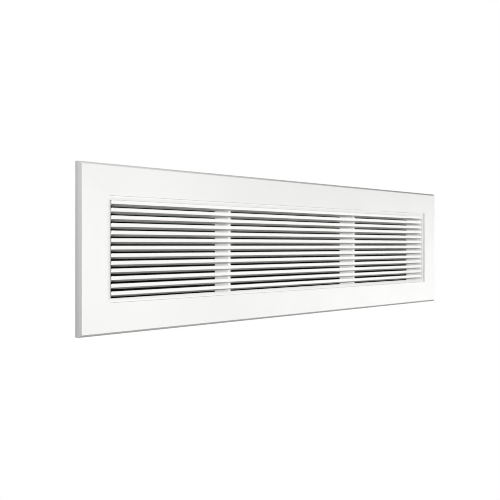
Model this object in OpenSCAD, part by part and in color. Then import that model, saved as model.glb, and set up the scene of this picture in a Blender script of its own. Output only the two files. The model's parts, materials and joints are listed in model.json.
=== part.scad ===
// Louvred air grille: a bevelled wall flange with a lift-out core of sloping blades.
// Millimetres. X runs along the grille, Z is up, and the front faces -Y.
// The origin is the middle of the neck in the plane of the wall.

/* [Blades] */
// Number of blades
blade_count = 13; // [5:1:18]
// Distance from one blade to the next
blade_pitch = 12.5; // [11:0.5:18]
// Height of a blade's front face
blade_face = 6.2; // [5:0.1:8]
// Depth of a blade from front to back
blade_depth = 14; // [13:0.5:18]
// Slope of a blade, down towards the back, in degrees
blade_slope = 15; // [5:1:20]
// Gap between the lip and the top blade
top_gap = 0.1; // [0.1:0.1:3]
// Gap between the bottom blade and the lip
bottom_gap = 5.1; // [4:0.1:8]
// Slit between a blade's end and the lip
end_slit = 2.8; // [1:0.1:4]

/* [Blade tenons] */
// Setback of a tenon from the blade's front face
tenon_setback = 4; // [3:0.5:5]
// Depth of a tenon
tenon_depth = 6; // [4:0.5:7]
// Thickness of a tenon
tenon_t = 3; // [2:0.1:4]

/* [Core] */
// Width of the core over its lip
core_w = 950; // [850:10:1200]
// Depth of the core from its lip to its back
core_depth = 49; // [46:0.5:60]
// Width of the lip round the core's front
lip_w = 6.8; // [6:0.1:9]
// Thickness of the lip
lip_t = 2; // [1.5:0.1:3]
// Thickness of the core's walls
core_wall = 1.8; // [1.5:0.1:2.5]
// Setback of the lip and blades behind the flange's front
lip_recess = 3.5; // [2:0.1:5]

/* [Mullions] */
// Distance between the two mullions
mullion_spacing = 390; // [250:10:500]
// Width of a mullion
mullion_w = 6.3; // [5.5:0.1:9]
// Depth of the notches that hold the blades' back edges
notch_depth = 3.7; // [2:0.1:6]
// Thread diameter of the mullion screws
mullion_screw_d = 3; // [2.5:0.1:3.4]
// Head diameter of the mullion screws
mullion_head_d = 5.6; // [5.2:0.1:6.2]
// Head height of the mullion screws
mullion_head_h = 1.4; // [1:0.1:1.45]
// Length of the mullion screws
mullion_screw_l = 14; // [8:1:20]
// Distance from the core's back to the rear mullion screw
mullion_screw_inset = 8; // [5:0.5:12]
// Distance between the two screws in one end of a mullion
mullion_screw_gap = 18; // [10:1:20]
// Length of the cross drive in a mullion screw's head
drive_l = 2.8; // [2:0.1:3.2]
// Width of the cross drive's slots
drive_w = 0.6; // [0.4:0.05:0.8]
// Depth of the cross drive
drive_depth = 0.7; // [0.4:0.05:0.9]

/* [Flange] */
// Width of the flange from the neck's inner face to its outer edge
border = 52.2; // [48:0.1:70]
// Height of the flange off the wall
flange_t = 13; // [12:0.5:18]
// Wall thickness of the flange
skin = 2; // [1.5:0.1:2.5]
// Width of the bevel on the outer edge, seen from the front
bevel_w = 4.1; // [2:0.1:6]
// Depth of the bevel on the outer edge
bevel_d = 5.6; // [3:0.1:6]

/* [Neck] */
// Wall thickness of the neck
neck_t = 2; // [1.8:0.1:3]
// Clearance all round the core
seam = 0.3; // [0.25:0.05:1]
// Width of the rib that stops the core
stop_w = 2.7; // [2.5:0.1:5]
// Thickness of the rib that stops the core
stop_t = 1.5; // [1.2:0.1:2.5]
// Width of the return lip at the neck's back
return_w = 9; // [8:0.5:14]
// Thickness of the return lip at the neck's back
return_t = 1.6; // [1.2:0.1:2.5]

/* [Filter] */
// Thickness of the filter pad
filter_t = 6; // [4:0.5:12]
// Distance between the two filter straps
strap_spacing = 390; // [250:10:600]
// Width of a filter strap
strap_w = 14; // [10:0.5:24]
// Thickness of a filter strap
strap_t = 1.2; // [1:0.1:2]
// Shank diameter of the strap rivets
strap_rivet_d = 3; // [2.5:0.1:3.5]
// Head diameter of the strap rivets
strap_rivet_head_d = 6; // [5.5:0.1:6.5]
// Head height of the strap rivets
strap_rivet_head_h = 1; // [0.6:0.1:1.4]

/* [Wall fixing] */
// Distance between the two wall screws in each long side of the neck
wall_screw_spacing = 560; // [500:10:640]
// Distance from the wall plane back to the wall screws
wall_screw_y = 20; // [14:0.5:24]
// Hole diameter for the wall screws
wall_screw_d = 3.8; // [3:0.1:4.4]
// Countersink diameter for the wall screws
wall_head_d = 6.4; // [6:0.1:7.5]
// Countersink depth for the wall screws
wall_head_h = 1.2; // [0.8:0.1:1.4]

/* [Wall seal] */
// Width of the seal strip
seal_w = 7; // [5:0.5:9]
// Thickness of the seal strip
seal_t = 2.5; // [1.5:0.1:3]
// Thickness of the ribs round the seal strip
seal_rib_t = 1.4; // [1:0.1:2]

/* [Corner keys] */
// Width of a corner key's legs
key_w = 20; // [14:0.5:22]
// Thickness of a corner key
key_t = 2.4; // [2:0.1:3]
// Length of a corner key's legs
key_l = 72; // [60:1:80]
// Distance from the neck's inner face to the middle of the key's channel
key_middle = 21; // [19:0.5:23]
// Thickness of the channel's ribs
key_rib_t = 1.4; // [1:0.1:1.8]
// Reach of the channel's hooks over the key
key_hook = 2.2; // [1.5:0.1:3]
// Distance from a corner key's outer corner to its set screws
set_screw_at = 46; // [32:1:52]
// Thread diameter of the set screws
set_screw_d = 5; // [4:0.1:6]
// Length of a set screw
set_screw_l = 5; // [3.5:0.1:5]
// Width across the flats of a set screw's socket
socket_af = 2.5; // [2:0.1:2.8]
// Depth of a set screw's socket
socket_depth = 2.4; // [1.5:0.1:2.8]

/* [Spring clips] */
// Distance from the core's end to the middle of a spring clip
clip_inset = 115; // [85:5:125]
// Width of a spring clip
clip_w = 12; // [8:0.5:20]
// Thickness of a spring clip
clip_t = 0.6; // [0.4:0.05:1]
// Length of a clip's riveted tab
clip_tab = 9; // [7.5:0.5:10]
// Length of a clip's bow
clip_bow = 16; // [12:0.5:18]
// Length of a clip's tail
clip_tail = 4; // [2:0.5:6]
// Distance from the lip's front to a spring clip
clip_setback = 12; // [10:0.5:14]
// Gap between a clip's bow and the neck
clip_gap = 0.2; // [0.15:0.05:0.35]
// Shank diameter of the clip rivets
clip_rivet_d = 3; // [2.5:0.1:3.5]
// Head diameter of the clip rivets
clip_rivet_head_d = 5.6; // [5:0.1:6.5]
// Head height of the clip rivets
clip_rivet_head_h = 1; // [0.6:0.1:1.4]

/* [Clearances] */
// Clearance round a fixed piece in its slot, notch or channel
slip = 0.1; // [0.05:0.05:0.2]
// Clearance between a piece and the seat it rests on
seat_gap = 0.3; // [0.1:0.05:0.5]
// Clearance round a screw or rivet in its hole
hole_gap = 0.05; // [0.03:0.01:0.1]

/* [Hidden] */
$fn = 48;
// Points along a spring clip's bow
bow_steps = 20;
// Spare length of a cutting shape past what it cuts
over = 1;
// Pairs of sides that a piece is repeated on, left or bottom first
sides = [-1, 1];

// Blades: fall per millimetre of depth, and the height that they and their gaps take up
fall = tan(blade_slope);
lip_open_h = top_gap + (blade_count - 1) * blade_pitch + blade_face + bottom_gap;

// Core: heights and widths over its lip and inside its walls
core_h = lip_open_h + 2 * lip_w;
core_in_h = core_h - 2 * core_wall;
blade_l = core_w - 2 * (lip_w + end_slit);

// Neck: the opening that the core fits
open_w = core_w + 2 * seam;
open_h = core_h + 2 * seam;

// Depths, from the flange's front to the neck's back
front_y = -flange_t;
lip_y = front_y + lip_recess;
blade_back_y = lip_y + blade_depth;
tenon_y = lip_y + tenon_setback;
mullion_y = blade_back_y - notch_depth;
core_back_y = lip_y + core_depth;
stop_y = core_back_y + seat_gap;
filter_y = stop_y + stop_t + seat_gap;
return_y = filter_y + filter_t + seat_gap;
neck_back_y = return_y + return_t;

// Flange: how far the inner corners of the bevelled skin lie from the outer ones
bevel_angle = atan2(bevel_d, bevel_w);
skin_front_shift = skin * tan(bevel_angle / 2);
skin_edge_shift = skin * tan((90 - bevel_angle) / 2);

// Wall seal: its place in the flange's back
seal_out = border - skin - slip;
seal_in = seal_out - seal_w;
groove_in = seal_in - slip - seal_rib_t;

// Corner keys: depth and half width of the channel that holds them
key_y = front_y + skin + slip;
hook_y = key_y + key_t + slip;
channel_half = key_w / 2 + slip;

// Spring clips: their distance from the middle, the bow's height through the rail, and their depths
clip_x = core_w / 2 - clip_inset;
bow_h = core_wall + seam - clip_gap;
clip_y = lip_y + clip_setback;
bow_y = clip_y + clip_tab;

// Mullion screws: their two depths in each end of a mullion
rear_screw_y = core_back_y - mullion_screw_inset;
mullion_screw_y = [rear_screw_y - mullion_screw_gap, rear_screw_y];

function two_digits(n) = n < 10 ? str("0", n) : str(n);
BLADES = [for (i = [1 : blade_count]) str("blade_", two_digits(i))];

// Shared shapes

// A section drawn as [depth, height], run along X and centred there
module along_x(length) {
  translate([-length / 2, 0, 0]) rotate([90, 0, 90]) linear_extrude(length) children();
}

// A section drawn as [depth, outward], run along the top of a rectangle and mitred at both ends.
// run is the rectangle's side, base its distance from the middle, and low and high the section's reach.
module mitred(run, base, low, high) {
  intersection() {
    translate([0, 0, base]) along_x(run + 2 * high + over) children();
    translate([0, neck_back_y + over, base]) rotate([90, 0, 0])
      linear_extrude(neck_back_y - front_y + 2 * over)
        polygon([
          [-run / 2 - low, low],
          [run / 2 + low, low],
          [run / 2 + high, high],
          [-run / 2 - high, high]
        ]);
  }
}

// The four sides of a rectangle, from one drawn along its top
module to_bottom() { mirror([0, 0, 1]) children(); }
module to_right() { rotate([0, 90, 0]) children(); }
module to_left() { rotate([0, -90, 0]) children(); }

// A slice of blade i, from depth a to depth b, following the blade's slope
module blade_slice(i, a, b, height, grow = 0) {
  middle = lip_open_h / 2 - top_gap - i * blade_pitch - blade_face / 2;
  half = height / 2 + grow;
  near = a - grow;
  far = b + grow;
  near_z = middle - (near - lip_y) * fall;
  far_z = middle - (far - lip_y) * fall;
  polygon([[near, near_z - half], [far, far_z - half], [far, far_z + half], [near, near_z + half]]);
}

// A flat-headed rivet along +Z: its shank starts at the origin and its head lies past the grip
module rivet(shank_d, grip, head_d, head_h) {
  cylinder(d = shank_d, h = grip + head_h / 2);
  translate([0, 0, grip]) cylinder(d1 = head_d, d2 = head_d - 2 * head_h, h = head_h);
}

// Frame

module frame_section() {
  // bevelled flange skin
  polygon([
    [front_y, 0],
    [front_y + skin, 0],
    [front_y + skin, border - bevel_w - skin_front_shift],
    [front_y + bevel_d + skin_edge_shift, border - skin],
    [0, border - skin],
    [0, border],
    [front_y + bevel_d, border],
    [front_y, border - bevel_w]
  ]);
  // neck wall, core stop and return lip
  translate([front_y, 0]) square([neck_back_y - front_y, neck_t]);
  translate([stop_y, -stop_w]) square([stop_t, stop_w + neck_t]);
  translate([return_y, -return_w]) square([return_t, return_w + neck_t]);
  // groove for the wall seal
  translate([-seal_t - seal_rib_t, groove_in]) {
    square([seal_rib_t, border - skin / 2 - groove_in]);
    square([seal_t + seal_rib_t, seal_rib_t]);
  }
  // hooked channel for the corner keys
  rib_y = front_y + skin / 2;
  for (flip = [0, 1]) translate([0, key_middle]) mirror([0, flip]) {
    translate([rib_y, channel_half]) square([hook_y + key_rib_t - rib_y, key_rib_t]);
    translate([hook_y, channel_half - key_hook]) square([key_rib_t, key_hook + key_rib_t]);
  }
}

module frame_rail(run, base) {
  mitred(run, base, -return_w, border) frame_section();
}

module wall_screw_holes() {
  for (s = sides) translate([s * wall_screw_spacing / 2, wall_screw_y, open_h / 2]) {
    translate([0, 0, -over]) cylinder(d = wall_screw_d, h = neck_t + 2 * over);
    cylinder(d1 = wall_head_d, d2 = wall_screw_d, h = wall_head_h);
  }
}

module strap_rivet_places() {
  for (s = sides) translate([s * strap_spacing / 2, return_y, open_h / 2 - return_w / 2])
    rotate([-90, 0, 0]) children();
}

module frame_long_side() {
  difference() {
    frame_rail(open_w, open_h / 2);
    wall_screw_holes();
    translate([0, -over, 0]) strap_rivet_places()
      cylinder(d = strap_rivet_d + 2 * hole_gap, h = return_t + 2 * over);
  }
}

module frame_top_rail() { color("white") frame_long_side(); }
module frame_bottom_rail() { color("white") to_bottom() frame_long_side(); }
module frame_left_stile() { color("white") to_left() frame_rail(open_h, open_w / 2); }
module frame_right_stile() { color("white") to_right() frame_rail(open_h, open_w / 2); }

// Corner keys and their set screws, drawn at the top right corner

module set_screw_places() {
  corner = key_middle + key_w / 2;
  for (leg = [[set_screw_at, key_w / 2], [key_w / 2, set_screw_at]])
    translate([open_w / 2 + corner - leg[0], front_y + skin, open_h / 2 + corner - leg[1]])
      rotate([-90, 0, 0]) children();
}

module corner_key() {
  x = open_w / 2 + key_middle + key_w / 2;
  z = open_h / 2 + key_middle + key_w / 2;
  color("lightsteelblue") difference() {
    translate([0, key_y + key_t, 0]) rotate([90, 0, 0]) linear_extrude(key_t)
      polygon([
        [x, z],
        [x - key_l, z],
        [x - key_l, z - key_w],
        [x - key_w, z - key_w],
        [x - key_w, z - key_l],
        [x, z - key_l]
      ]);
    translate([0, -over, 0]) set_screw_places()
      cylinder(d = set_screw_d + 2 * hole_gap, h = key_t + 2 * (slip + over));
  }
}

module corner_key_top_left() { mirror([1, 0, 0]) corner_key(); }
module corner_key_top_right() { corner_key(); }
module corner_key_bottom_left() { mirror([1, 0, 0]) mirror([0, 0, 1]) corner_key(); }
module corner_key_bottom_right() { mirror([0, 0, 1]) corner_key(); }

module set_screw() {
  difference() {
    cylinder(d = set_screw_d, h = set_screw_l);
    translate([0, 0, set_screw_l - socket_depth])
      cylinder(d = socket_af / cos(30), h = socket_depth + over, $fn = 6);
  }
}

module key_set_screws() {
  color("dimgray") for (flip_x = [0, 1]) for (flip_z = [0, 1])
    mirror([flip_x, 0, 0]) mirror([0, 0, flip_z]) set_screw_places() set_screw();
}

// Wall seal

module wall_seal(run, base) {
  color("black") mitred(run, base, seal_in, seal_out)
    translate([-seal_t, seal_in]) square([seal_t, seal_w]);
}

module wall_seal_top() { wall_seal(open_w, open_h / 2); }
module wall_seal_bottom() { to_bottom() wall_seal(open_w, open_h / 2); }
module wall_seal_left() { to_left() wall_seal(open_h, open_w / 2); }
module wall_seal_right() { to_right() wall_seal(open_h, open_w / 2); }

// Filter pad and the straps behind it

module filter_pad() {
  color("black") translate([-open_w / 2 + seat_gap, filter_y, -open_h / 2 + seat_gap])
    cube([open_w - 2 * seat_gap, filter_t, open_h - 2 * seat_gap]);
}

module filter_strap(side) {
  color("silver") difference() {
    translate([side * strap_spacing / 2 - strap_w / 2, neck_back_y, -open_h / 2])
      cube([strap_w, strap_t, open_h]);
    for (flip = [0, 1]) mirror([0, 0, flip]) translate([0, neck_back_y - return_y - over, 0])
      strap_rivet_places() cylinder(d = strap_rivet_d + 2 * hole_gap, h = strap_t + 2 * over);
  }
}

module filter_strap_left() { filter_strap(-1); }
module filter_strap_right() { filter_strap(1); }

module strap_rivets() {
  color("silver") for (flip = [0, 1]) mirror([0, 0, flip])
    strap_rivet_places() rivet(strap_rivet_d, return_t + strap_t, strap_rivet_head_d, strap_rivet_head_h);
}

// Core frame

module core_section() {
  translate([lip_y, -lip_w]) square([lip_t, lip_w]);
  translate([lip_y, -core_wall]) square([core_depth, core_wall]);
}

module core_rail(run, base) {
  mitred(run, base, -lip_w, 0) core_section();
}

module clip_places() {
  for (s = sides) translate([s * clip_x, 0, core_in_h / 2]) children();
}

module clip_rivet_places() {
  clip_places() translate([0, clip_y + clip_tab / 2, core_wall]) rotate([180, 0, 0]) children();
}

module mullion_screw_places() {
  for (s = sides) for (y = mullion_screw_y) translate([s * mullion_spacing / 2, y, core_h / 2])
    rotate([180, 0, 0]) children();
}

module countersunk(shank_d, head_d, head_h, length, above = 0) {
  translate([0, 0, -above]) cylinder(d = shank_d, h = length + above);
  cylinder(d1 = head_d, d2 = shank_d, h = head_h);
}

module core_long_side() {
  difference() {
    core_rail(core_w, core_h / 2);
    clip_places() translate([-clip_w / 2 - over / 2, bow_y - over / 2, -over])
      cube([clip_w + over, clip_bow + over, core_wall + 2 * over]);
    translate([0, 0, over]) clip_rivet_places()
      cylinder(d = clip_rivet_d + 2 * hole_gap, h = core_wall + 2 * over);
    mullion_screw_places()
      countersunk(
        mullion_screw_d + 2 * hole_gap, mullion_head_d + 2 * hole_gap, mullion_head_h, core_wall + over, over
      );
  }
}

module core_end() {
  difference() {
    core_rail(core_h, core_w / 2);
    rotate([0, -90, 0]) for (i = [0 : blade_count - 1])
      along_x(core_w + over) blade_slice(i, tenon_y, tenon_y + tenon_depth, tenon_t, slip);
  }
}

module core_top_rail() { color("white") core_long_side(); }
module core_bottom_rail() { color("white") to_bottom() core_long_side(); }
module core_left_end() { color("white") mirror([1, 0, 0]) to_right() core_end(); }
module core_right_end() { color("white") to_right() core_end(); }

// Blades and mullions

module blade(i) {
  color("white") union() {
    along_x(blade_l) blade_slice(i, lip_y, blade_back_y, blade_face);
    along_x(core_w) blade_slice(i, tenon_y, tenon_y + tenon_depth, tenon_t);
  }
}

module mullion(side) {
  color("white") difference() {
    translate([side * mullion_spacing / 2 - mullion_w / 2, mullion_y, -core_in_h / 2])
      cube([mullion_w, core_back_y - mullion_y, core_in_h]);
    for (i = [0 : blade_count - 1]) along_x(blade_l) blade_slice(i, lip_y, blade_back_y, blade_face, slip);
    for (flip = [0, 1]) mirror([0, 0, flip]) mullion_screw_places()
      cylinder(d = mullion_screw_d + 2 * hole_gap, h = mullion_screw_l + over);
  }
}

module mullion_left() { mullion(-1); }
module mullion_right() { mullion(1); }

module mullion_screw() {
  difference() {
    countersunk(mullion_screw_d, mullion_head_d, mullion_head_h, mullion_screw_l);
    for (turn = [0, 90]) rotate([0, 0, turn])
      translate([-drive_l / 2, -drive_w / 2, -over]) cube([drive_l, drive_w, drive_depth + over]);
  }
}

module mullion_screws() {
  color("silver") for (flip = [0, 1]) mirror([0, 0, flip]) mullion_screw_places() mullion_screw();
}

// Spring clips: a flat tab, a bow that reaches through the rail's window, and a flat tail

function bow_at(t) = bow_h * (1 - cos(360 * t)) / 2;

module spring_clip(side) {
  bow = [for (k = [0 : bow_steps]) [bow_y + clip_bow * k / bow_steps, bow_at(k / bow_steps)]];
  outer = concat([[clip_y, 0]], bow, [[bow_y + clip_bow + clip_tail, 0]]);
  inner = [for (k = [len(outer) - 1 : -1 : 0]) outer[k] - [0, clip_t]];
  color("silver") difference() {
    translate([side * clip_x, 0, core_in_h / 2]) along_x(clip_w) polygon(concat(outer, inner));
    translate([0, 0, over]) clip_rivet_places()
      cylinder(d = clip_rivet_d + 2 * hole_gap, h = core_wall + clip_t + 2 * over);
  }
}

module spring_clip_top_left() { spring_clip(-1); }
module spring_clip_top_right() { spring_clip(1); }
module spring_clip_bottom_left() { to_bottom() spring_clip(-1); }
module spring_clip_bottom_right() { to_bottom() spring_clip(1); }

module clip_rivets() {
  color("silver") for (flip = [0, 1]) mirror([0, 0, flip])
    clip_rivet_places() rivet(clip_rivet_d, core_wall + clip_t, clip_rivet_head_d, clip_rivet_head_h);
}

frame_top_rail();
frame_bottom_rail();
frame_left_stile();
frame_right_stile();
corner_key_top_left();
corner_key_top_right();
corner_key_bottom_left();
corner_key_bottom_right();
key_set_screws();
wall_seal_top();
wall_seal_bottom();
wall_seal_left();
wall_seal_right();
filter_pad();
filter_strap_left();
filter_strap_right();
strap_rivets();
core_top_rail();
core_bottom_rail();
core_left_end();
core_right_end();
for (i = [0 : blade_count - 1]) blade(i);
mullion_left();
mullion_right();
mullion_screws();
spring_clip_top_left();
spring_clip_top_right();
spring_clip_bottom_left();
spring_clip_bottom_right();
clip_rivets();
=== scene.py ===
# %% [markdown]
# # A louvred air grille
#
# This is the long white grille that closes an air duct in a wall. A flat flange with a bevelled edge
# lies on the wall, and inside it sits a core of thirteen sloping blades, which lifts out so that the
# filter behind it can be changed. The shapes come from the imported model, so every metal piece is
# already in its place and at its real size. This lesson gives the pieces their finishes, makes the two
# soft things that a solid model can't show well, and then sets up the picture.

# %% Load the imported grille
import json
import math

import bmesh
import bpy
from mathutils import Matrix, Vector, noise

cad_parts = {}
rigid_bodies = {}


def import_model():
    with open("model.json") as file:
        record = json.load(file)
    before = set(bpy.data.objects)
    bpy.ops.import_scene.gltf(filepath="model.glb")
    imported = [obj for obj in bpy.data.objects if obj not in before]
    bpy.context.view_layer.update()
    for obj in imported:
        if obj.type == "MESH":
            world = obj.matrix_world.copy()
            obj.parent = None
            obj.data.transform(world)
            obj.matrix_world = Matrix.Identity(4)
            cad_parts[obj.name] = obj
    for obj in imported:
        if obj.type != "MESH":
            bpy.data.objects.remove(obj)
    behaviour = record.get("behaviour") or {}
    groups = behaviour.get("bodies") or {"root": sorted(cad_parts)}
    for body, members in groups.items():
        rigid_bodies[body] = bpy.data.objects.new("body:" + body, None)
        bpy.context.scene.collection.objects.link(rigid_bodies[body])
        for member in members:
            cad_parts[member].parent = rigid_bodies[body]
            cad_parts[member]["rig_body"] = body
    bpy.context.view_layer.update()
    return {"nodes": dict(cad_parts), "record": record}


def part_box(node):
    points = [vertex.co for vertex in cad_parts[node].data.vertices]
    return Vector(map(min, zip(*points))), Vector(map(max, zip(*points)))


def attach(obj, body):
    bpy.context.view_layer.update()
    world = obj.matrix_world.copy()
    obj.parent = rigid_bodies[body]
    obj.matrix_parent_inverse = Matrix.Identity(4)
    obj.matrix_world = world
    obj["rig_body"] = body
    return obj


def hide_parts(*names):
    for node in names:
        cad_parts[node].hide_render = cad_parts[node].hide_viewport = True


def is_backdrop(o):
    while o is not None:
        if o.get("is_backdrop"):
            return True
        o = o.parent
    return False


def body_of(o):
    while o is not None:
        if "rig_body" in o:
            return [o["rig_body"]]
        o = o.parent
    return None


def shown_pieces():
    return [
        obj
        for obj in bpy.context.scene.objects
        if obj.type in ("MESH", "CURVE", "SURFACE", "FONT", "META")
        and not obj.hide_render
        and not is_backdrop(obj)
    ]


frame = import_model()
scene = bpy.context.scene
print("metal and soft pieces:", len(frame["nodes"]))

# %% [markdown]
# ## The camera
#
# The grille is seen from its left, level with its middle, so the long sides run towards each other with
# distance. A camera could be aimed with a constraint, but three plain numbers are easier to compare with
# a photograph: where it stands, which way it turns, and how far the picture slides in its frame. The
# camera stays level, because the upright edges of the grille stay upright in the picture.

# %% Place the camera
lens = bpy.data.cameras.new("camera")
lens.lens = 50
lens.sensor_width = 36
lens.shift_x = 0.0011
lens.shift_y = -0.0095
camera = bpy.data.objects.new("camera", lens)
camera.location = (-1.097, -0.982, 0.0064)
camera.rotation_euler = (math.radians(90), 0, math.radians(-44.2))
scene.collection.objects.link(camera)
scene.camera = camera
scene.cycles.filter_width = 1.0
print("camera stands", round(camera.location.length, 2), "m from the grille's middle")

# %% [markdown]
# ## How the finishes are made
#
# Every finish here is a Principled shader with a few textures in front of it. The textures read Object
# coordinates, which are metres on the piece itself, so a scale of 1000 gives marks about a millimetre
# across on every piece, however long it is. The helpers below each add one node and join it up. They
# keep the finishes short to read: a pattern, then what the pattern does to colour, gloss or relief.

# %% Helpers for the finishes
FINISHES = {}
# Most values of a noise texture lie between these two
NOISE_LOW = 0.3
NOISE_HIGH = 0.7


def new_finish(slot_name, mean_colour, metallic=0.0):
    """Starts the finish of one material slot. Returns its node tree and its shader."""
    material = bpy.data.materials.new("finish_" + slot_name)
    FINISHES[slot_name] = material
    material.use_nodes = True
    material.diffuse_color = (*mean_colour, 1)
    shader = material.node_tree.nodes["Principled BSDF"]
    shader.inputs["Base Color"].default_value = (*mean_colour, 1)
    shader.inputs["Metallic"].default_value = metallic
    return material.node_tree, shader


def stretched_place(tree, stretch=(1, 1, 1)):
    """The point on the piece in metres, stretched where a pattern runs in one direction."""
    place = tree.nodes.new("ShaderNodeTexCoord")
    mapping = tree.nodes.new("ShaderNodeMapping")
    mapping.inputs["Scale"].default_value = stretch
    tree.links.new(place.outputs["Object"], mapping.inputs["Vector"])
    return mapping.outputs["Vector"]


def speckle(tree, place, scale, detail=2.0, roughness=0.5):
    """A soft noise of marks about one over scale metres across."""
    texture = tree.nodes.new("ShaderNodeTexNoise")
    texture.inputs["Scale"].default_value = scale
    texture.inputs["Detail"].default_value = detail
    texture.inputs["Roughness"].default_value = roughness
    tree.links.new(place, texture.inputs["Vector"])
    return texture.outputs["Fac"]


def cells(tree, place, scale, feature="F1", output="Distance"):
    """A pattern of touching cells, as in foam or on zinc."""
    texture = tree.nodes.new("ShaderNodeTexVoronoi")
    texture.feature = feature
    texture.inputs["Scale"].default_value = scale
    tree.links.new(place, texture.inputs["Vector"])
    return texture.outputs[output]


def tint(tree, pattern, shader, low_colour, high_colour, low=0.35, high=0.65):
    """The colour goes from one to the other as the pattern rises from low to high."""
    ramp = tree.nodes.new("ShaderNodeValToRGB")
    ramp.color_ramp.elements[0].position = low
    ramp.color_ramp.elements[0].color = (*low_colour, 1)
    ramp.color_ramp.elements[1].position = high
    ramp.color_ramp.elements[1].color = (*high_colour, 1)
    tree.links.new(pattern, ramp.inputs["Fac"])
    tree.links.new(ramp.outputs["Color"], shader.inputs["Base Color"])


def gloss(tree, pattern, shader, smooth, rough):
    """The pattern turns the roughness from smooth to rough."""
    spread = tree.nodes.new("ShaderNodeMapRange")
    spread.inputs["From Min"].default_value = NOISE_LOW
    spread.inputs["From Max"].default_value = NOISE_HIGH
    spread.inputs["To Min"].default_value = smooth
    spread.inputs["To Max"].default_value = rough
    tree.links.new(pattern, spread.inputs["Value"])
    tree.links.new(spread.outputs["Result"], shader.inputs["Roughness"])


def relief(tree, pattern, shader, strength, height):
    """The pattern stands out of the surface by about height metres."""
    bump = tree.nodes.new("ShaderNodeBump")
    bump.inputs["Strength"].default_value = strength
    bump.inputs["Distance"].default_value = height
    tree.links.new(pattern, bump.inputs["Height"])
    tree.links.new(bump.outputs["Normal"], shader.inputs["Normal"])


print("finish helpers ready")

# %% [markdown]
# ## White coat
#
# The flange, the core and the blades are aluminium with a baked white powder coat. It is satin rather
# than shiny, a shade warmer than paper, and close up it has the faint orange peel that powder leaves as
# it flows out. A clear coat layer would make it look like enamel, so the gloss comes from the base alone.

# %% Make the white coat
coat_tree, coat = new_finish("white_coat", (0.862, 0.861, 0.846))
coat_place = stretched_place(coat_tree)
cloud = speckle(coat_tree, coat_place, scale=7, detail=3)
tint(coat_tree, cloud, coat, low_colour=(0.850, 0.849, 0.834), high_colour=(0.874, 0.873, 0.858))
sheen = speckle(coat_tree, coat_place, scale=240, detail=2)
gloss(coat_tree, sheen, coat, smooth=0.35, rough=0.42)
orange_peel = speckle(coat_tree, coat_place, scale=850, detail=1)
relief(coat_tree, orange_peel, coat, strength=0.08, height=0.0001)
print("white coat:", len(coat_tree.nodes), "nodes")

# %% [markdown]
# ## Zinc plate
#
# The corner keys inside the flange and the two straps behind the filter are galvanised steel. Zinc
# freezes in flat crystals, so its grey changes from patch to patch, each with a clear border. Voronoi
# cells give just that: one grey in each cell. A second, finer noise dulls the gloss, as white bloom does.

# %% Make the zinc plate
zinc_tree, zinc = new_finish("zinc_plate", (0.55, 0.56, 0.57), metallic=1.0)
zinc_place = stretched_place(zinc_tree)
crystals = cells(zinc_tree, zinc_place, scale=190, output="Color")
to_grey = zinc_tree.nodes.new("ShaderNodeRGBToBW")
zinc_tree.links.new(crystals, to_grey.inputs["Color"])
crystal_grey = to_grey.outputs["Val"]
tint(zinc_tree, crystal_grey, zinc, (0.47, 0.48, 0.50), (0.64, 0.645, 0.65), low=0.15, high=0.85)
zinc_bloom = speckle(zinc_tree, zinc_place, scale=420, detail=3)
gloss(zinc_tree, zinc_bloom, zinc, smooth=0.30, rough=0.50)
relief(zinc_tree, crystal_grey, zinc, strength=0.12, height=0.0001)
print("zinc plate:", len(zinc_tree.nodes), "nodes")

# %% [markdown]
# ## Spring steel
#
# Four bowed clips grip the core in the neck. They are cut from rolled strip, which is darker than zinc
# and carries fine rolling marks along its length. Squeezing the noise along the strip, which runs
# front to back here, turns round specks into streaks.

# %% Make the spring steel
spring_tree, spring = new_finish("spring_steel", (0.40, 0.41, 0.43), metallic=1.0)
spring_place = stretched_place(spring_tree, stretch=(2600, 60, 900))
rolled = speckle(spring_tree, spring_place, scale=1, detail=3)
tint(spring_tree, rolled, spring, (0.34, 0.35, 0.38), (0.46, 0.465, 0.48))
gloss(spring_tree, rolled, spring, smooth=0.22, rough=0.40)
relief(spring_tree, rolled, spring, strength=0.10, height=0.00003)
print("spring steel:", len(spring_tree.nodes), "nodes")

# %% [markdown]
# ## Fastener steel
#
# The screws and rivets are small, plated and a little dull. At this size the eye only reads a
# grainy sheen, so one fine noise drives colour, gloss and relief together.

# %% Make the fastener steel
fastener_tree, fastener = new_finish("fastener_steel", (0.56, 0.56, 0.55), metallic=1.0)
grain = speckle(fastener_tree, stretched_place(fastener_tree), scale=1100, detail=3)
tint(fastener_tree, grain, fastener, (0.48, 0.48, 0.47), (0.63, 0.63, 0.62))
gloss(fastener_tree, grain, fastener, smooth=0.28, rough=0.46)
relief(fastener_tree, grain, fastener, strength=0.15, height=0.00004)
print("fastener steel:", len(fastener_tree.nodes), "nodes")

# %% [markdown]
# ## Black rubber
#
# The strip that seals the flange against the wall is extruded sponge rubber with a closed skin. It is
# never quite black: a pale bloom comes and goes over it in soft patches, and the skin has a fine grain.

# %% Make the black rubber
rubber_tree, rubber = new_finish("black_rubber", (0.022, 0.022, 0.023))
rubber_place = stretched_place(rubber_tree)
pale_bloom = speckle(rubber_tree, rubber_place, scale=55, detail=4)
tint(rubber_tree, pale_bloom, rubber, (0.016, 0.016, 0.017), (0.032, 0.032, 0.033))
rubber_sheen = speckle(rubber_tree, rubber_place, scale=300, detail=2)
gloss(rubber_tree, rubber_sheen, rubber, smooth=0.55, rough=0.75)
skin_grain = speckle(rubber_tree, rubber_place, scale=1600, detail=2)
relief(rubber_tree, skin_grain, rubber, strength=0.25, height=0.0001)
rubber.inputs["Specular IOR Level"].default_value = 0.35
print("black rubber:", len(rubber_tree.nodes), "nodes")

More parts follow.
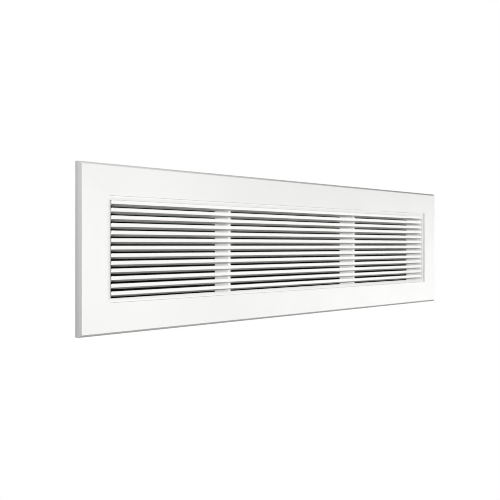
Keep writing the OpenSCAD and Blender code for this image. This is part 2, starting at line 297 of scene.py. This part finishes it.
# %% [markdown]
# ## Black foam
#
# Behind the blades hangs a sheet of open-cell filter foam, and it is why the gaps look black. The foam
# is a net of thin struts round open pores about a millimetre and a half across. Modelling each strut
# would take millions of faces, so the distance to the edge of a Voronoi cell does it: small at a strut,
# large in a pore. It paints shade into the pores, darkest in their middle, and lifts the struts in
# relief at the same time.

# %% Make the black foam
foam_tree, foam = new_finish("black_foam", (0.015, 0.015, 0.0155))
foam_place = stretched_place(foam_tree)
pore_depth_and_shade = cells(foam_tree, foam_place, scale=620, feature="DISTANCE_TO_EDGE")
# Painted shade: the colour darkens from the struts to the middle of each pore, standing in for the shade
# inside the open cells.
tint(foam_tree, pore_depth_and_shade, foam, (0.030, 0.030, 0.031), (0.006, 0.006, 0.006), low=0.04, high=0.22)
foam_sheen = speckle(foam_tree, foam_place, scale=500, detail=2)
gloss(foam_tree, foam_sheen, foam, smooth=0.9, rough=1.0)
struts = foam_tree.nodes.new("ShaderNodeMath")
struts.operation = "SUBTRACT"
struts.inputs[0].default_value = 1.0
foam_tree.links.new(pore_depth_and_shade, struts.inputs[1])
relief(foam_tree, struts.outputs["Value"], foam, strength=0.7, height=0.0012)
foam.inputs["Specular IOR Level"].default_value = 0.1
print("black foam:", len(foam_tree.nodes), "nodes")

# %% [markdown]
# ## Finish and edges of the metal pieces
#
# The record says which finish each piece takes, so a loop can hand them out. Cut and extruded metal
# never has a perfectly sharp edge, and a coat rounds it further, so each piece also gets a small bevel
# that catches the light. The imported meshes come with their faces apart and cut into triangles: Weld joins
# the faces, a planar Decimate takes out the cuts that lie flat, and only then does Bevel find the true
# edges. Weighted Normal keeps the large faces flat-looking beside their rounded edges. The mitred lengths
# of the frame and the core get a finer bevel, so that no line shows where two of them meet.

# %% Hand out the finishes and round the edges
EDGE_RADIUS = {
    "white_coat": 0.0003,
    "zinc_plate": 0.0002,
    "spring_steel": 0.0001,
    "fastener_steel": 0.00012,
}
MITRED_RADIUS = 0.0001
MITRED_PIECES = ("frame_", "core_")
WELD_REACH = 0.000002
FLAT_ANGLE = math.radians(0.5)
SHARP_ANGLE = math.radians(40)
finish_of = {entry["node"]: entry["material_slot"] for entry in frame["record"]["subparts"]}


def round_edges(piece, radius):
    """Joins the faces, clears the flat cuts and bevels every sharp edge."""
    weld = piece.modifiers.new("join faces", "WELD")
    weld.merge_threshold = WELD_REACH
    flat = piece.modifiers.new("clear flat cuts", "DECIMATE")
    flat.decimate_type = "DISSOLVE"
    flat.angle_limit = FLAT_ANGLE
    bevel = piece.modifiers.new("round edges", "BEVEL")
    bevel.width = radius
    bevel.segments = 2
    bevel.limit_method = "ANGLE"
    bevel.angle_limit = SHARP_ANGLE
    bevel.miter_outer = "MITER_ARC"
    shading = piece.modifiers.new("even shading", "WEIGHTED_NORMAL")
    shading.keep_sharp = False


for name, piece in frame["nodes"].items():
    slot_name = finish_of[name]
    piece.data.materials.clear()
    piece.data.materials.append(FINISHES[slot_name])
    if slot_name in EDGE_RADIUS:
        mitred = name.startswith(MITRED_PIECES)
        round_edges(piece, MITRED_RADIUS if mitred else EDGE_RADIUS[slot_name])
for slot_name in FINISHES:
    print(slot_name, "on", list(finish_of.values()).count(slot_name), "pieces")

# %% [markdown]
# ## The filter pad
#
# The pad is a soft sheet, laid between the stop rib and the return lip of the neck and held by two
# straps. Its border is pinched, its middle is free, so the back swells a little into each bay and the
# straps press a shallow groove. A cloth simulation could find that shape, but a foam sheet hardly moves:
# a grid whose points follow a smooth swell, with a little noise for the uneven foam, gives the same result
# every time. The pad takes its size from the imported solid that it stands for.

# %% Make the filter pad
pad_low, pad_high = (Vector(corner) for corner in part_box("filter_pad"))
strap_boxes = [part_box(name) for name in ("filter_strap_left", "filter_strap_right")]
GRID_STEP = 0.0036
HELD_EDGE = 0.0095
EDGE_RISE = 0.035
STRAP_RISE = 0.03
BACK_SWELL = 0.0016
FRONT_SWELL = 0.0006
SHARE_UNDER_STRAP = 0.3
BORDER_DRAW = 0.0005
BROAD_DIMPLE = 0.00035
BROAD_DIMPLES_PER_METRE = 14
FINE_DIMPLE = 0.00018
FINE_DIMPLES_PER_METRE = 95
FINE_SLICE = 5


def ease(t):
    """0 below 0, 1 above 1, and a smooth rise between."""
    t = min(max(t, 0.0), 1.0)
    return t * t * (3 - 2 * t)


def free_of_edge(x, z):
    """0 where the border is pinched, 1 out in the free middle."""
    inset = min(x - pad_low.x, pad_high.x - x, z - pad_low.z, pad_high.z - z)
    return ease((inset - HELD_EDGE) / EDGE_RISE)


def free_of_straps(x):
    """0 under a strap, 1 away from both."""
    reach = 1.0
    for low, high in strap_boxes:
        outside = max(low[0] - x, x - high[0], 0)
        reach = min(reach, ease(outside / STRAP_RISE))
    return reach


def dimple(x, z, per_metre, slice_at):
    """Smooth noise between -1 and 1, with about so many dimples to the metre."""
    return noise.noise(Vector((x * per_metre, slice_at, z * per_metre)))


def pad_point(x, z, back):
    """A point of the pad's front or back face."""
    free = free_of_edge(x, z)
    uneven = BROAD_DIMPLE * dimple(x, z, BROAD_DIMPLES_PER_METRE, back)
    uneven += FINE_DIMPLE * dimple(x, z, FINE_DIMPLES_PER_METRE, FINE_SLICE + back)
    if back:
        swell = BACK_SWELL * free * (SHARE_UNDER_STRAP + (1 - SHARE_UNDER_STRAP) * free_of_straps(x))
        return Vector((x, pad_high.y + swell + uneven * free, z))
    return Vector((x, pad_low.y - FRONT_SWELL * free + uneven * free, z))


def inward(line, last_line):
    """1 on the first line of a grid, -1 on the last, 0 between."""
    return (line == 0) - (line == last_line)


def filter_sheet():
    """A closed foam sheet: two dimpled faces and a border that draws in between them."""
    columns = round((pad_high.x - pad_low.x) / GRID_STEP)
    rows = round((pad_high.z - pad_low.z) / GRID_STEP)
    xs = [pad_low.x + (pad_high.x - pad_low.x) * i / columns for i in range(columns + 1)]
    zs = [pad_low.z + (pad_high.z - pad_low.z) * j / rows for j in range(rows + 1)]
    mesh = bmesh.new()
    faces = {}
    for back in (0, 1):
        grid = [[mesh.verts.new(pad_point(x, z, back)) for z in zs] for x in xs]
        faces[back] = grid
        for i in range(columns):
            for j in range(rows):
                corners = [grid[i][j], grid[i + 1][j], grid[i + 1][j + 1], grid[i][j + 1]]
                mesh.faces.new(corners[::-1] if back else corners)
    ring = [(i, 0) for i in range(columns)]
    ring += [(columns, j) for j in range(rows)]
    ring += [(i, rows) for i in range(columns, 0, -1)]
    ring += [(0, j) for j in range(rows, 0, -1)]
    waist = []
    for i, j in ring:
        middle = (faces[0][i][j].co + faces[1][i][j].co) / 2
        draw = Vector((inward(i, columns), 0, inward(j, rows))) * BORDER_DRAW
        waist.append(mesh.verts.new(middle + draw))
    for k, (i, j) in enumerate(ring):
        after = (k + 1) % len(ring)
        m, n = ring[after]
        mesh.faces.new([faces[0][m][n], faces[0][i][j], waist[k], waist[after]])
        mesh.faces.new([waist[after], waist[k], faces[1][i][j], faces[1][m][n]])
    bmesh.ops.recalc_face_normals(mesh, faces=mesh.faces)
    for face in mesh.faces:
        face.smooth = True
    return mesh


def new_piece(name, mesh, body, node, slot_name):
    """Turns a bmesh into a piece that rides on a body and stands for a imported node."""
    data = bpy.data.meshes.new(name)
    mesh.to_mesh(data)
    mesh.free()
    piece = bpy.data.objects.new(name, data)
    piece.data.materials.append(FINISHES[slot_name])
    scene.collection.objects.link(piece)
    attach(piece, body)
    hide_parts(node)
    return piece


foam_pad = new_piece("foam_pad", filter_sheet(), "frame", "filter_pad", "black_foam")
print("filter pad:", len(foam_pad.data.polygons), "faces")

# %% [markdown]
# ## The wall seal
#
# Four rubber strips lie in the groove at the flange's back, cut at 45 degrees so that they meet in the
# corners. The side that touches the wall has three soft ribs, which flatten when the grille is screwed
# home. A curve with a bevel profile would round off the mitres, so each strip is lofted from its profile
# instead: the same outline at each station, with the two end stations slid along to lie in the mitre.

# %% Make the wall seal
RIBS = 3
RIB_HEIGHT = 0.0007
POINTS_PER_RIB = 10
CHAMFER = 0.0004
CHAMFER_SHARE = 0.06
STATION_STEP = 0.03
FEWEST_STATIONS = 4


def seal_profile(low_y, high_y):
    """Outline of the strip as (depth, share of its width), ribbed on the wall side."""
    shoulder = low_y + CHAMFER
    points = [(shoulder, 0), (low_y, CHAMFER_SHARE), (low_y, 1 - CHAMFER_SHARE), (shoulder, 1)]
    steps = RIBS * POINTS_PER_RIB
    for k in range(steps, -1, -1):
        share = k / steps
        wave = 0.5 - 0.5 * math.cos(2 * math.pi * RIBS * share)
        points.append((high_y - RIB_HEIGHT * (1 - wave), share))
    return points


def seal_strip(node):
    """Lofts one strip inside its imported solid's box."""
    low, high = (Vector(corner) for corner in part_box(node))
    upright = node.endswith(("left", "right"))
    run, across = (2, 0) if upright else (0, 2)
    outward = 1 if node.endswith(("top", "right")) else -1
    width = high[across] - low[across]
    inner = low[across] if outward > 0 else high[across]
    outline = seal_profile(low.y, high.y)
    stations = max(FEWEST_STATIONS, round((high[run] - low[run]) / STATION_STEP))
    mesh = bmesh.new()
    loops = []
    for s in range(stations + 1):
        t = 2 * s / stations - 1
        loop = []
        for depth, share in outline:
            point = Vector((0, depth, 0))
            point[across] = inner + outward * width * share
            point[run] = t * (high[run] - width * (1 - share))
            loop.append(mesh.verts.new(point))
        loops.append(loop)
    count = len(outline)
    for a, b in zip(loops, loops[1:]):
        for k in range(count):
            n = (k + 1) % count
            face = mesh.faces.new([a[k], a[n], b[n], b[k]])
            face.smooth = True
    mesh.faces.new(loops[0])
    mesh.faces.new(loops[-1])
    bmesh.ops.recalc_face_normals(mesh, faces=mesh.faces)
    return mesh


for side in ("top", "bottom", "left", "right"):
    node = "wall_seal_" + side
    strip = new_piece("ribbed_seal_" + side, seal_strip(node), "frame", node, "black_rubber")
    print(strip.name, len(strip.data.polygons), "faces")

# %% [markdown]
# ## Floor and backdrop
#
# The grille hangs on a wall, so the floor is well below it. Floor and backdrop are one plain pale white.
# A white floor would throw light up at the grille and wash out the shade under its blades, so it shows
# to the camera alone: the rays that light the grille pass it by. In the same way the backdrop is white to
# the camera, while the grille feels only a faint glow of it.

# %% Lay the floor and set the backdrop
FLOOR_LEVEL = -1.3
FLOOR_RADIUS = 14
FELT_STRENGTH = 0.02
floor_mesh = bmesh.new()
bmesh.ops.create_circle(floor_mesh, cap_ends=True, radius=FLOOR_RADIUS, segments=96)
floor_data = bpy.data.meshes.new("floor")
floor_mesh.to_mesh(floor_data)
floor_mesh.free()
floor = bpy.data.objects.new("floor", floor_data)
floor.location.z = FLOOR_LEVEL
floor.visible_diffuse = False
floor.visible_glossy = False
floor.visible_shadow = False
scene.collection.objects.link(floor)
floor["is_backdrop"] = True
pale = bpy.data.materials.new("pale_floor")
pale.use_nodes = True
pale_shader = pale.node_tree.nodes["Principled BSDF"]
pale_shader.inputs["Base Color"].default_value = (0, 0, 0, 1)
pale_shader.inputs["Specular IOR Level"].default_value = 0
pale_shader.inputs["Emission Color"].default_value = (1, 1, 1, 1)
pale_shader.inputs["Emission Strength"].default_value = 1
floor.data.materials.append(pale)

backdrop = bpy.data.worlds.new("backdrop")
backdrop.use_nodes = True
scene.world = backdrop
sky = backdrop.node_tree
seen = sky.nodes["Background"]
seen.inputs["Color"].default_value = (1, 1, 1, 1)
felt = sky.nodes.new("ShaderNodeBackground")
felt.inputs["Color"].default_value = (1, 1, 1, 1)
felt.inputs["Strength"].default_value = FELT_STRENGTH
ray = sky.nodes.new("ShaderNodeLightPath")
either = sky.nodes.new("ShaderNodeMixShader")
sky.links.new(ray.outputs["Is Camera Ray"], either.inputs["Fac"])
sky.links.new(felt.outputs["Background"], either.inputs[1])
sky.links.new(seen.outputs["Background"], either.inputs[2])
sky.links.new(either.outputs["Shader"], sky.nodes["World Output"].inputs["Surface"])
scene.view_settings.view_transform = "Standard"
print("floor at", FLOOR_LEVEL, "m, backdrop white")

# %% [markdown]
# ## Light
#
# A product picture like this is lit by large soft boxes. White on white is hard to read, so the frame and
# the core have lamps of their own, which Blender's light linking allows: a lamp with a receiver collection
# lights the pieces in it and nothing else. The frame's main lamp stands on the right, and a weak one just
# behind the front's plane reaches the left end alone, so the left end and the bevels stay grey and stand
# out from the white behind. The blades' main lamp stands on the left, beside the camera and a little above
# them, so their undersides stay dark. With the core as its blocker collection, it pays no heed to the
# frame, whose edge would throw a shadow over the blades. The upright pieces have a lamp at the side and
# one in front. Only the uprights block these two, so their light passes the blades, and the sides of the
# mullions and of the right end are evenly bright from top to bottom. Two lamps behind show the back when
# the grille is turned.

# %% Set up the soft boxes
UPRIGHT_PIECES = ("mullion_", "core_left_end", "core_right_end")
LEVEL_PIECES = ("blade_", "core_top_rail", "core_bottom_rail", "spring_clip_", "clip_rivets")
MIDDLE = (0, 0, 0)


def light_group(name, body, starts=""):
    """A collection of the pieces of one body whose names start so, for lamps that keep to these."""
    group = bpy.data.collections.new(name)
    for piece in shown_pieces():
        if body_of(piece) == [body] and piece.name.startswith(starts):
            group.objects.link(piece)
    return group


def soft_box(name, place, target, size, strength, lights=None, shaded_by=None):
    """A soft box, size metres wide and tall, that gives the target the same light from any distance."""
    lamp = bpy.data.lights.new(name, "AREA")
    lamp.shape = "RECTANGLE"
    lamp.size, lamp.size_y = size
    away = Vector(target) - Vector(place)
    lamp.energy = strength * math.pi * away.length_squared
    box = bpy.data.objects.new(name, lamp)
    box.location = place
    box.rotation_euler = away.to_track_quat("-Z", "Y").to_euler()
    box.visible_camera = False
    box.light_linking.receiver_collection = lights
    box.light_linking.blocker_collection = shaded_by
    scene.collection.objects.link(box)


def from_front(turn, height, distance):
    """The point so far from the grille's middle, turned right of the front and raised, in degrees."""
    turn, height = math.radians(turn), math.radians(height)
    level = distance * math.cos(height)
    return (level * math.sin(turn), -level * math.cos(turn), distance * math.sin(height))


frame_group = light_group("frame", "frame")
core_group = light_group("core", "core")
upright_group = light_group("uprights of the core", "core", UPRIGHT_PIECES)
level_group = light_group("blades and rails of the core", "core", LEVEL_PIECES)
blade_group = light_group("blades", "core", "blade_")
soft_box("blade_key", from_front(-55, 8, 40), MIDDLE, (20, 15), 5.3, level_group, core_group)
soft_box("upright_side", from_front(-75, 0, 40), MIDDLE, (10, 10), 1.9, upright_group, upright_group)
soft_box("upright_front", from_front(-5, 0, 40), MIDDLE, (10, 10), 2.1, upright_group, upright_group)
soft_box("core_fill", from_front(-10, -25, 5), MIDDLE, (2, 2), 0.2, core_group, core_group)
soft_box("blade_right", from_front(45, 0, 4), MIDDLE, (2, 2), 0.6, blade_group)
soft_box("frame_key", from_front(25, -5, 5), MIDDLE, (2, 2), 2.0, frame_group)
soft_box("frame_low", from_front(55, -8, 3), MIDDLE, (1.2, 1.2), 0.93, frame_group)
soft_box("frame_side", from_front(-97, 0, 5), MIDDLE, (2, 2), 0.67, frame_group)
soft_box("frame_top_corner", (-0.9, -0.5, 1.1), (-0.35, 0, 0.1), (0.5, 0.5), 2.07, frame_group)
soft_box("frame_low_corner", (-0.9, -0.5, -1.1), (-0.35, 0, -0.1), (0.5, 0.5), 0.55, frame_group)
soft_box("back_right", from_front(150, 15, 4), MIDDLE, (2, 2), 1.5)
soft_box("back_left", from_front(-165, 15, 4), MIDDLE, (2, 2), 0.9)
